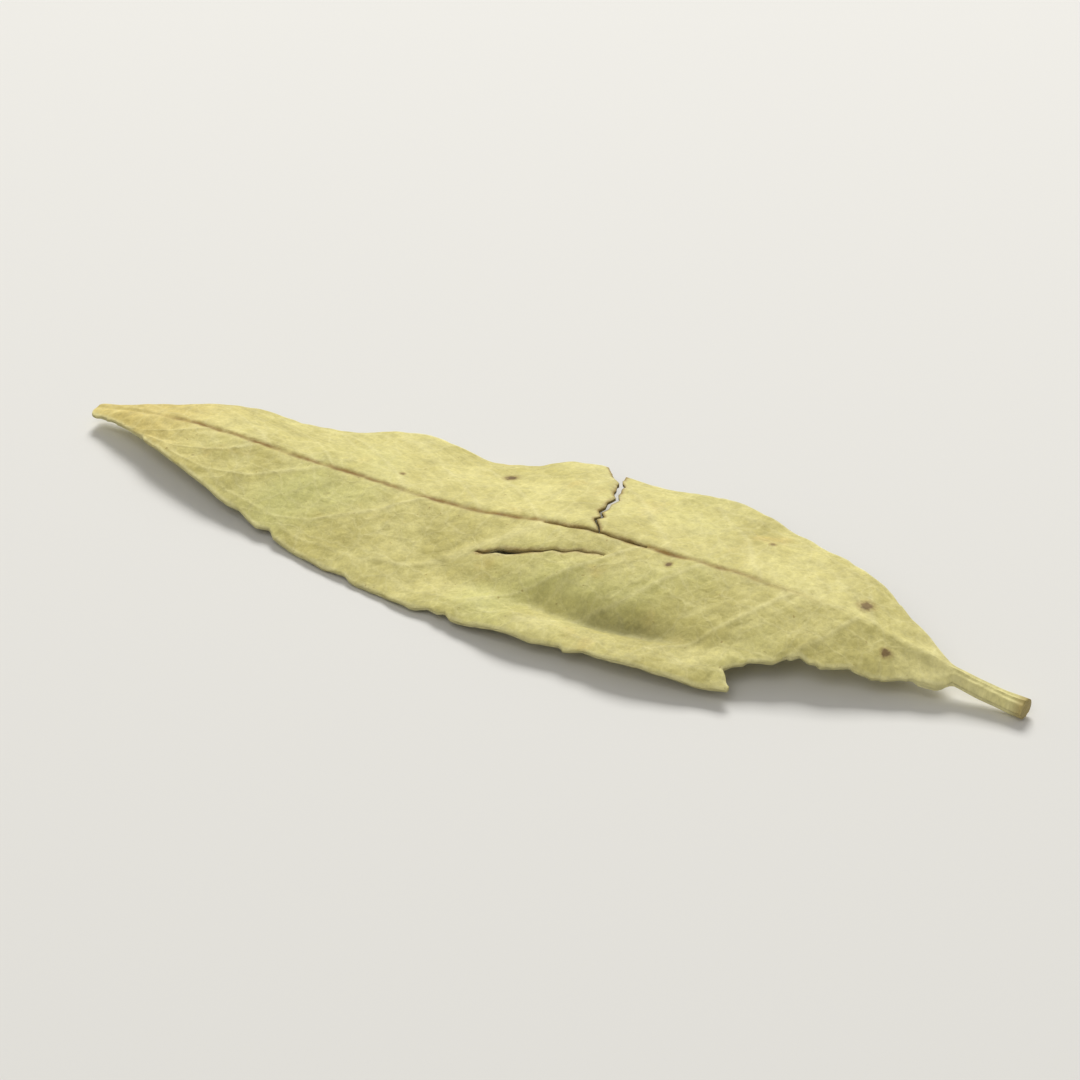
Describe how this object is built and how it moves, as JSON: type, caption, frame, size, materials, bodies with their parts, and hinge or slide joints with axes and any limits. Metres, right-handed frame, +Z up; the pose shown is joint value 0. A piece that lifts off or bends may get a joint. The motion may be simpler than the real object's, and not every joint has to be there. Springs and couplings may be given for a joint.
{
  "type": "dried senna leaf",
  "caption": "Single dried senna leaflet, lance-shaped with a short stalk, gently arched, cracked and torn at one margin, lying with its upper face up.",
  "frame": {"origin": "centre of the leaf's footprint, on the surface that it lies on", "axes": "+X from the tip to the cut end of the stalk, +Z up out of the upper face, -Y to the margin with the tear"},
  "size_m": [0.038, 0.0106, 0.002],
  "materials": {
    "leaf": "matte dry leaf, pale straw green"
  },
  "bodies": {
    "root": {"senna_leaf": "leaf"}
  },
  "joints": []
}
